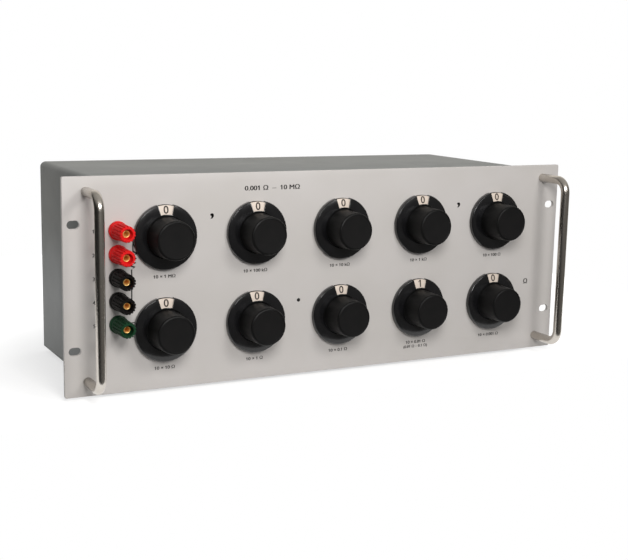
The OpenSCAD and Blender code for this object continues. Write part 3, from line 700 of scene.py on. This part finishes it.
# %% Bezel
STEP_TURN, WINDOW_IN, WEDGE_OUT = 30, 18.4, 29.0
bezel = turned("bezel", [(26.2, 0), (26.9, 0), (26.9, 3.8), (26.3, 4.4), (17.6, 5.8), (17.6, 5.0),
                         (26.2, 3.6), (26.2, 0)], 128)
wide = WEDGE_OUT * math.tan(math.radians(STEP_TURN / 2))
wedge = draw("wedge", [(0, 0, -1), (wide, WEDGE_OUT, -1), (-wide, WEDGE_OUT, -1), (0, 0, -1)])
bpy.ops.mesh.select_all(action="SELECT")
bpy.ops.mesh.remove_doubles(threshold=MERGE)
bpy.ops.mesh.edge_face_add()
push((0, 0, 9 * MM))
close_up(wedge)
cut(wedge, turned("strip", [(0, -2), (WINDOW_IN, -2), (WINDOW_IN, 10), (0, 10)], 128))
cut(bezel, wedge)
smooth(soften(bezel, 0.14, 2, 25), 30)
bezels = join("dial_rings", [copy_of(bezel, f"ring_{k}", on_face(*dial_at[k])) for k in DIALS])
put_away(bezel)
dress(bezels, bezel_black, "box", "black_plastic", "dial_bezels")
print("bezels", len(bezels.data.polygons), "faces")

# %% [markdown]
# Under the bezel turns a cream dial with the numbers 0 to 10. It is a shallow dish: flat in the middle where
# the knob stands, sloping under the bezel's face, with a rim turned down at the edge. Only the slope and the
# rim are cream: the flat middle is coloured black as painted shade, so that the gap around the knob looks
# dark.

# %% Number dials
NUMBER_TOP, NUMBER_RIM, RIM_LOW, DISH = 4.55, 3.15, 1.25, 0.9
SHAFT_HOLE, SLOPE_IN, SLOPE_OUT = 3.225, 17.6, 25.75
dish = turned("dish", [(SHAFT_HOLE, NUMBER_TOP - DISH), (SHAFT_HOLE, NUMBER_TOP), (SLOPE_IN, NUMBER_TOP),
                       (SLOPE_OUT, NUMBER_RIM), (SLOPE_OUT, RIM_LOW), (SLOPE_OUT - DISH, RIM_LOW),
                       (SLOPE_OUT - DISH, NUMBER_RIM - DISH), (SLOPE_IN, NUMBER_TOP - DISH),
                       (SHAFT_HOLE, NUMBER_TOP - DISH)], 96)
smooth(soften(dish, 0.12, 2, 40), 30)
for k in DIALS:
    dial = copy_of(dish, f"cream_dial_{k}", on_face(*dial_at[k]))
    dress(dial, dial_cream, f"decade_{k}", "cream_plastic", f"number_dial_{k}")
    # The faces of the flat middle take the matt black finish: painted shade for the gap around the knob.
    dial.data.materials.append(knob_matt)
    right, up = dial_at[k]
    for face in dial.data.polygons:
        reach = math.hypot(face.center.x - right * MM, face.center.z - PANEL_MID - up * MM)
        face.material_index = 1 if reach < (SLOPE_IN + 0.1) * MM else 0
put_away(dish)
print("number dials", len(dial.data.polygons), "faces each")

# %% [markdown]
# The numbers are plain printed figures, one every 30 degrees, upright when they stand in the window. Text in
# Blender is a curve, so each figure is written, given a hair of thickness and made a mesh. In this typeface
# the figure one is a plain bar, so it gets a slanted stroke, as on an instrument. A stroke is a line of
# corners, drawn out sideways by the width of a nib.

# %% Strokes of ink
def stroke(points, nib, film):
    """A flat line through points in mm, as wide as a nib and as thick as a film of ink."""
    line = draw("line", [(right, up, 0) for right, up in points])
    bpy.ops.mesh.select_all(action="SELECT")
    push(Vector((*nib, 0)) * MM)
    close_up(line)
    sheet = line.modifiers.new("film", "SOLIDIFY")
    sheet.thickness = film * MM
    sheet.offset = 0
    bpy.ops.object.modifier_apply(modifier=sheet.name)
    return line


def extent(piece):
    """The low and the high corner of a piece's box, in mm."""
    sides = [[v.co[i] / MM for v in piece.data.vertices] for i in range(3)]
    return [min(side) for side in sides], [max(side) for side in sides]


def flagged(signs, words, height):
    """The signs of some words, and a slanted stroke for each one. A k is as narrow, but gets none."""
    upright = []
    for sign in signs:
        low, high = extent(sign)
        if high[0] - low[0] < 0.35 * height and 0.85 * height < high[1] - low[1] < 1.2 * height:
            upright.append((low[0], high[1]))
    made = []
    for (left, top), letter in zip(sorted(upright), [c for c in words if c in "1k"]):
        if letter == "1":
            slant = [(left + 0.02, top), (left - 0.2 * height, top - 0.22 * height)]
            made.append(stroke(slant, (0, -0.16 * height), 0.06))
    return signs + made


print("strokes and slanted strokes ready")

# %% Words
CAPITAL = 0.7


def written(name, words, height, wide=1.0, film=0.03, bold=0.0):
    """Words as a mesh, centred on the origin, with capitals of a height in mm."""
    bpy.ops.object.select_all(action="DESELECT")
    bpy.ops.object.text_add()
    text = bpy.context.object
    text.name = name
    text.data.body = words
    text.data.size = height / CAPITAL * MM
    text.data.align_x = "CENTER"
    text.data.align_y = "CENTER"
    text.data.extrude = film * MM
    text.data.offset = bold * MM
    text.data.resolution_u = 5
    bpy.ops.object.convert(target="MESH")
    piece = bpy.context.object
    put(piece, Matrix.Diagonal((wide, 1, 1, 1)))
    bpy.ops.object.mode_set(mode="EDIT")
    close_up(piece)
    bpy.ops.object.mode_set(mode="EDIT")
    bpy.ops.mesh.separate(type="LOOSE")
    bpy.ops.object.mode_set(mode="OBJECT")
    piece = join(name, flagged(list(bpy.context.selected_objects), words, height))
    low, high = extent(piece)
    return put(piece, Matrix.Translation([-(a + b) / 2 * MM for a, b in zip(low, high)]))


figures = {v: written(f"figure_{v}", str(v), 6.2, 1.02 if v < 10 else 0.76, 0.03, 0.17) for v in range(11)}
print("figures", {v: len(figure.data.polygons) for v, figure in figures.items()}, "faces")

# %% [markdown]
# Each figure lies on the slope of its dial, at its own step round. The ninth dial shows 1 and the others 0,
# so the ninth starts one step further round.

# %% Figures on the dials
SHOWN = {k: 1 if k == 9 else 0 for k in DIALS}
FIGURE_R = 22.2
FALL = (NUMBER_TOP - NUMBER_RIM) / (SLOPE_OUT - SLOPE_IN)
lie = Matrix.Translation((0, FIGURE_R * MM, (NUMBER_TOP - (FIGURE_R - SLOPE_IN) * FALL) * MM))
lie = lie @ Matrix.Rotation(-math.atan(FALL), 4, "X")
for k in DIALS:
    marks = []
    for v, figure in figures.items():
        marks.append(copy_of(figure, f"mark_{v}", on_face(*dial_at[k], STEP_TURN * (v - SHOWN[k])) @ lie))
    numbers = join(f"dial_numbers_{k}", marks)
    dress(numbers, brown_ink, f"decade_{k}", "black_plastic")
put_away(*figures.values())
print("numbers", len(numbers.data.polygons), "faces on each dial, fall", round(FALL, 3))

# %% [markdown]
# The knob is a tall, slightly tapering cup of black plastic with a plain foot and a matt front. A set screw
# goes in from below. The front face is given its own finish: the faces that look forward and lie inside the
# bevel are chosen and assigned a second material.

# %% Knob
FRONT_R, FRONT_Z = 14.0, 28.05
knob = turned("knob", [(SHAFT_HOLE, NUMBER_TOP), (17, NUMBER_TOP), (17, 6.15), (16.75, 6.5), (16, 26.8),
                       (15.5, 27.75), (14.6, 28.2), (14.2, 28.2), (FRONT_R, FRONT_Z), (0, FRONT_Z)], 128)
bpy.ops.object.mode_set(mode="EDIT")
choose(knob, "EDGE", lambda middle, edge: len(edge.link_faces) == 1)
push((0, 0, 17.05 * MM))
bpy.ops.mesh.edge_face_add()
close_up(knob)
drill = turned("drill", [(0, 0), (1.95, 0), (1.95, 20), (0, 20)], 32)
put(drill, Matrix.Translation((0, 0, 13.05 * MM)) @ Matrix.Rotation(math.radians(90), 4, "X"))
cut(knob, drill)
smooth(soften(knob, 0.18, 3, 24), 30)
print("knob", [round(v / MM, 2) for v in knob.dimensions], len(knob.data.polygons), "faces")

# %% Knobs on their dials
for k in DIALS:
    grip = copy_of(knob, f"grip_{k}", on_face(*dial_at[k], -STEP_TURN * SHOWN[k]))
    dress(grip, knob_black, f"decade_{k}", "black_plastic", f"knob_{k}")
    grip.data.materials.append(knob_matt)
    right, up = dial_at[k]
    hub = Vector((right * MM, PANEL_FRONT - FRONT_Z * MM, PANEL_MID + up * MM))
    for face in grip.data.polygons:
        if (face.center - hub).length < (FRONT_R + 0.05) * MM and face.normal.y < -0.9:
            face.material_index = 1
put_away(knob)
print("matt faces on a knob", sum(face.material_index for face in grip.data.polygons))

# %% [markdown]
# A binding post has an insulating base, a gilt stud with a socket in its end, and a coloured cap that screws
# down on a bare wire. The cap's teeth are made on the turned mesh: it has six columns of corners for each
# tooth, and two of every six are drawn in towards the axis, all but the plain ring at the bottom.

# %% Post cap
TEETH = 16
COLUMNS = TEETH * 6
GROOVE_DRAW = (0.87, 0.87, 1)
cap = turned("cap", [(5.65, 4.45), (7.0, 4.45), (6.95, 7.2), (6.93, 7.8), (6.78, 16.0), (6.62, 25.1),
                     (6.3, 25.7), (5.9, 26.0), (4.3, 26.0), (4.3, 20.6), (2.88, 20.6), (2.88, 6.8),
                     (5.65, 6.8), (5.65, 4.45)], COLUMNS)
bpy.ops.object.mode_set(mode="EDIT")


def in_groove(middle, corner):
    """Whether a corner lies in a groove between two teeth, above the plain ring."""
    column = round(math.degrees(math.atan2(middle.y, middle.x)) / 360 * COLUMNS)
    radius = math.hypot(middle.x, middle.y)
    return column % 6 < 2 and 7.5 * MM < middle.z < 26.1 * MM and radius > 5.5 * MM


choose(cap, "VERT", in_groove)
print("corners in grooves", sum(v.select for v in bmesh.from_edit_mesh(cap.data).verts))
bpy.ops.transform.resize(value=GROOVE_DRAW, center_override=(0, 0, 0))
close_up(cap)
smooth(cap, 24)
print("cap", [round(v / MM, 2) for v in cap.dimensions], len(cap.data.polygons), "faces")

# %% [markdown]
# The base and the stud are turned as well. The mouth of the socket is rounded inside and out, because that
# thin ring is what catches the lamps. A cross hole through the stud takes a bare wire.

# %% Bases and studs
base = turned("base", [(2.0, -4.7), (6.0, -4.7), (6.0, -3.2), (4.0, -3.2), (4.0, 0), (7.6, 0), (7.6, 3.5),
                       (7.1, 4.0), (2.0, 4.0), (2.0, -4.7)], 72)
smooth(soften(base, 0.2, 3, 30), 30)
stud = turned("stud", [(0, -17.2), (1.6, -17.2), (1.95, -16.8), (1.95, 4.0), (4.6, 4.0), (4.6, 5.0),
                       (2.8, 5.0), (2.8, 21.8), (2.74, 22.02), (2.62, 22.15), (2.48, 22.2), (2.36, 22.17),
                       (2.16, 22.04), (2.05, 21.9), (2.0, 21.7), (2.0, 9.4), (0, 9.4)], 64)
bore = turned("bore", [(0, -4), (1.2, -4), (1.2, 4), (0, 4)], 32)
put(bore, Matrix.Translation((0, 0, 6.65 * MM)) @ Matrix.Rotation(math.radians(90), 4, "X"))
cut(stud, bore)
smooth(stud, 30)
print("base", len(base.data.polygons), "faces, stud", len(stud.data.polygons), "faces")

# %% Posts on the panel
RED, BLACK, GREEN = (post_red, "red_plastic"), (post_black, "black_plastic"), (post_green, "green_plastic")
for k, (finish, slot) in zip(POSTS, (RED, RED, BLACK, BLACK, GREEN)):
    post_cap = copy_of(cap, f"toothed_cap_{k}", on_face(*post_at[k]))
    dress(post_cap, finish, f"cap_{k}", slot, f"post_cap_{k}")
    post_base = copy_of(base, f"insulating_base_{k}", on_face(*post_at[k]))
    dress(post_base, finish, "box", slot, "post_bases")
    post_stud = copy_of(stud, f"gilt_stud_{k}", on_face(*post_at[k]))
    dress(post_stud, gilt, "box", "gold_plate", "post_studs")
put_away(cap, base, stud)
print("posts at", [tuple(round(v, 2) for v in at) for at in post_at.values()])

# %% [markdown]
# Eighteen round-head screws hold the case together, and four countersunk ones hold the handles from behind.
# One of each is turned, and a cross recess is cut into its head with two crossed blocks. The copies are then
# set on the sides, below and behind, each with the cross at its own chance angle, as a hand leaves them. Four
# rubber feet are pushed into holes in the bottom plate.

# %% Screws
def cross(width, long, low, high):
    """Two crossed blocks in mm, for a recess in a screw's head."""
    bars = []
    for x, y in ((long, width), (width, long)):
        bpy.ops.object.select_all(action="DESELECT")
        bpy.ops.mesh.primitive_cube_add(size=1)
        bars.append(put(bpy.context.object, Matrix.Translation((0, 0, (low + high) / 2 * MM))
                        @ Matrix.Diagonal((x * MM, y * MM, (high - low) * MM, 1))))
    return bars


dome = [(3.7, 0.9), (3.5, 1.45), (3.0, 1.85), (2.2, 2.1), (1.1, 2.2), (0, 2.2)]
screw = turned("screw", [(0, -6), (1.6, -6), (1.95, -5.6), (1.95, 0), (3.7, 0), *dome], 48)
for blade in cross(0.75, 4.0, 0.9, 3.0):
    cut(screw, blade)
smooth(screw, 35)
SPINS = (12, 71, 33, 58, 5, 84, 27, 66, 49)
LIP_X, SCREW_UP, SCREW_DEEP = 204.2, (-60, 0, 60), (39.2, 88.3, 137.4)


def screw_places():
    """The frames of the screws at the sides, below and behind, with z out of the case."""
    for s in (-1, 1):
        out = Matrix.Rotation(math.radians(90 * s), 4, "Y")
        for z in SCREW_UP:
            yield Matrix.Translation((s * HALF_W * MM, PANEL_FRONT + 15.7 * MM, PANEL_MID + z * MM)) @ out
        for y in SCREW_DEEP:
            yield below(s * LIP_X, y) @ Matrix.Rotation(math.pi, 4, "X")
        for z in SCREW_UP:
            behind = (s * LIP_X * MM, PANEL_FRONT + (CASE_BACK + SHEET) * MM, PANEL_MID + z * MM)
            yield Matrix.Translation(behind) @ Matrix.Rotation(math.radians(-90), 4, "X")


copies = []
for i, place in enumerate(screw_places()):
    spin = Matrix.Rotation(math.radians(SPINS[i % len(SPINS)]), 4, "Z")
    copies.append(copy_of(screw, f"screw_{i}", place @ spin))
case_screws = dress(join("case_screws", copies), zinc, "box", "steel", "cover_screws")
put_away(screw)
print("case screws", len(copies), "with", len(case_screws.data.polygons), "faces")

# %% Handle screws and feet
sunk = turned("sunk", [(0, -PANEL_T), (4.45, -PANEL_T), (4.6, -PANEL_T + 0.15), (2.45, -1.05), (2.45, 11.6),
                       (2.1, 12.0), (0, 12.0)], 48)
for blade in cross(0.9, 5.0, -4.0, -2.0):
    cut(sunk, blade)
smooth(sunk, 35)
copies = [copy_of(sunk, f"sunk_{i}", on_face(*at, SPINS[i])) for i, at in enumerate(HANDLE_AT)]
dress(join("handle_bolts", copies), zinc, "box", "steel", "handle_screws")
foot = turned("foot", [(0, -4.6), (3.5, -4.6), (4.0, -5), (7.5, -5), (8.2, -4.2), (8.5, -0.4), (8.1, 0),
                       (3, 0), (3, 1.6), (4.4, 1.6), (4.2, 2.6), (3, 6.0), (0, 6.0)], 64)
smooth(soften(foot, 0.2, 2, 30), 30)
copies = [copy_of(foot, f"foot_{i}", below(*at)) for i, at in enumerate(FOOT_AT)]
dress(join("push_in_feet", copies), rubber, "box", "rubber", "rubber_feet")
put_away(sunk, foot)
print("handle screws", len(HANDLE_AT), "feet", len(copies))

# %% [markdown]
# Printing on the panel is plain: the range at the top, ten steps and their value under each dial, a comma or
# a dot between the groups of digits, a number for each post and a small line drawing of a resistor. Words are
# written as on the dials, and struck twice, a hair apart, because growing this typeface spoils some letters.

# %% Printed marks
def printed(words, height, right, up, wide=1.0, bold=0.0):
    """Words on the panel, centred on a point, and struck twice a hair apart to make them bolder."""
    strikes = []
    for side in (-bold, bold):
        strikes.append(put(written("print", words, height, wide, 0.02), on_face(right + side, up)))
    return join("print", strikes)


def inked(points, nib):
    """A line through points on the panel, as wide as a nib."""
    return put(stroke(points, nib, 0.04), on_face(0, 0))


STEPS = ["1 MΩ", "100 kΩ", "10 kΩ", "1 kΩ", "100 Ω", "10 Ω", "1 Ω", "0.1 Ω", "0.01 Ω", "0.001 Ω"]
marks = []
for k, step in zip(DIALS, STEPS):
    right, up = dial_at[k]
    marks += [printed("10 × " + step, 2.7, right, up - 32.7, 1.12, 0.13)]
    if k == 9:
        marks += [printed("(0.01 Ω – 0.1 Ω)", 2.4, right, up - 37.2, 1.12, 0.12)]
marks += [printed("0.001 Ω  –  10 MΩ", 3.9, -61, 75.4, 1.2, 0.2)]
marks += [printed(str(k), 3.0, -216.5, post_at[k][1], 1.0, 0.15) for k in POSTS]
marks += [printed(",", 13, -115.8, 53.2, 1.1, 0.32), printed(",", 13, 128.1, 53.8, 1.1, 0.32)]
marks += [printed("Ω", 4.6, 208.7, -22.2, 1.0, 0.26)]
dot = turned("dot", [(0, -0.02), (1.6, -0.02), (1.6, 0.02), (0, 0.02)], 32)
marks += [put(dot, on_face(-34.7, -23.1))]
print("printed words and points", len(marks))

# %% Line drawing beside the posts
ZIGZAG = [(-184.6, 44.9), (-184.6, 27.2), (-181.2, 24.6), (-187.4, 22.6), (-181.8, 20.8), (-187.2, 18.9),
          (-182.4, 17.2), (-187.0, 15.4), (-183.0, 13.9), (-185.8, 12.5), (-185.8, -12.2)]
EARTH_X, EARTH_UP = -181.35, -33.9
marks += [inked(ZIGZAG, (1.1, 0.9))]
marks += [inked([(-185.6, -31.3), (-181.6, -31.3)], (0, 0.7))]
marks += [inked([(-181.7, -31.0), (-181.7, -33.6)], (0.7, 0))]
for half, drop in ((2.2, 0), (1.4, 1.3), (0.6, 2.6)):
    marks += [inked([(EARTH_X - half, EARTH_UP - drop), (EARTH_X + half, EARTH_UP - drop)], (0, 0.6))]
panel_marks = dress(join("panel_marks", marks), ink, "box", "black_plastic")
print("printed marks", len(marks), "with", len(panel_marks.data.polygons), "faces")

# %% [markdown]
# The set is a plain white bench. The floor is matt and takes the object's shadow, and a little light of its
# own, seen only by the camera and by mirrors, lifts it to white. That light grows with the distance from the
# object, so the shadow is soft and fades out before the floor ends. To the camera the world is plain white.
# For polished metal the room behind the camera is darker, as a real room is, so bars get a dark side.

# %% Floor
bpy.ops.object.select_all(action="DESELECT")
bpy.ops.mesh.primitive_plane_add(size=2)
floor = bpy.context.object
floor.name = "bench"
FLOOR_MIDDLE, FLOOR_HALF = (0, 0.265, -0.0002), (0.52, 0.395, 1, 1)
put(floor, Matrix.Translation(FLOOR_MIDDLE) @ Matrix.Diagonal(FLOOR_HALF))
bpy.ops.object.mode_set(mode="EDIT")
bpy.ops.mesh.subdivide(number_cuts=4)
bpy.ops.object.mode_set(mode="OBJECT")
white = Finish("white_bench")
seen = white.ray("Camera") + white.ray("Glossy") + white.ray("Transmission")
matt = white.node("ShaderNodeBsdfDiffuse", {}, {"Color": (0.5, 0.5, 0.5, 1)})
oval = white.place((1, 1.6, 1))
offset = white.node("ShaderNodeVectorMath", {"operation": "SUBTRACT"}, {0: oval, 1: (0, 0.05, 0)})
away = white.node("ShaderNodeVectorMath", {"operation": "LENGTH"}, {0: offset}, output="Value")
veil = white.ramp(away, (0.25, 0.64), (0.46, 1.0))
glow = white.node("ShaderNodeEmission", {}, {"Color": veil, "Strength": seen})
both = white.node("ShaderNodeAddShader", {}, {0: matt, 1: glow})
white.node("ShaderNodeOutputMaterial", {}, {"Surface": both})
floor.data.materials.append(white.material)
print("floor", tuple(floor.dimensions))

# %% World
class Sky(Finish):
    """The world's nodes, built in the same way as a finish."""

    def __init__(self, world):
        world.use_nodes = True
        self.tree = world.node_tree
        self.tree.nodes.clear()


world = bpy.data.worlds.new("studio")
bpy.context.scene.world = world
sky = Sky(world)
direction = sky.node("ShaderNodeTexCoord", output="Generated")


def along(*axis):
    """How far a ray points along an axis, from 0 to 1."""
    sockets = {0: direction, 1: axis}
    cosine = sky.node("ShaderNodeVectorMath", {"operation": "DOT_PRODUCT"}, sockets, output="Value")
    return cosine * 0.5 + 0.5


sideways = sky.ramp(along(1, 0, 0), (0.0, 0.015), (0.24, 0.02), (0.42, 0.10), (0.8, 0.15))
backdrop = sky.ramp(along(0.4, 0.92, 0), (0.75, 0), (0.92, 0.85))
ceiling = sky.ramp(along(0, 0, 1), (0.62, 0), (0.85, 0.35))
room = sky.blend(sideways + backdrop + ceiling, (0, 0, 0, 1), (1.0, 0.97, 0.92, 1))
dome = sky.ramp(along(0.45, 0.88, 0.15), (0.3, 0.24), (0.8, 0.62))
ambient = sky.node("ShaderNodeBackground", {}, {"Color": dome, "Strength": 1.0})
mirror = sky.node("ShaderNodeBackground", {}, {"Color": room, "Strength": 1.0})
plain = sky.node("ShaderNodeBackground", {}, {"Color": (1, 1, 1, 1), "Strength": 1.0})
reflected = sky.node("ShaderNodeMixShader", {}, {0: sky.ray("Glossy"), 1: ambient, 2: mirror})
straight = sky.ray("Camera") + sky.ray("Transmission")
shown = sky.node("ShaderNodeMixShader", {}, {0: straight, 1: reflected, 2: plain})
sky.node("ShaderNodeOutputWorld", {}, {"Surface": shown})
print("world nodes", len(sky.tree.nodes))

# %% [markdown]
# Two round soft lamps stand in front of the box and above it. The smaller one is in front of the right
# handle, so that this handle's shadow lies straight behind it, and the left one's runs down and outwards. The
# larger one is in front of the panel's left half and does most of the work, so the panel is brightest at its
# left end. The world fills in, more from behind. Colours are shown as they are, by the Standard view.

# %% Lamps
def lamp(name, place, strength, size, tint):
    """A round lamp that shines at the middle of the box."""
    bpy.ops.object.select_all(action="DESELECT")
    aim = Vector((0, 0, 0.09)) - Vector(place)
    bpy.ops.object.light_add(type="AREA", location=place, rotation=aim.to_track_quat("-Z", "Y").to_euler())
    made = bpy.context.object
    made.name = name
    made.data.energy = strength
    made.data.color = tint
    made.data.shape = "DISK"
    made.data.size = size


lamp("key", (0.22, -0.77, 0.54), 2.3, 0.24, (1.0, 0.99, 0.98))
lamp("front", (-0.26, -0.78, 0.5), 4.5, 0.3, (1.0, 0.985, 0.975))
bpy.context.scene.view_settings.view_transform = "Standard"

# %% [markdown]
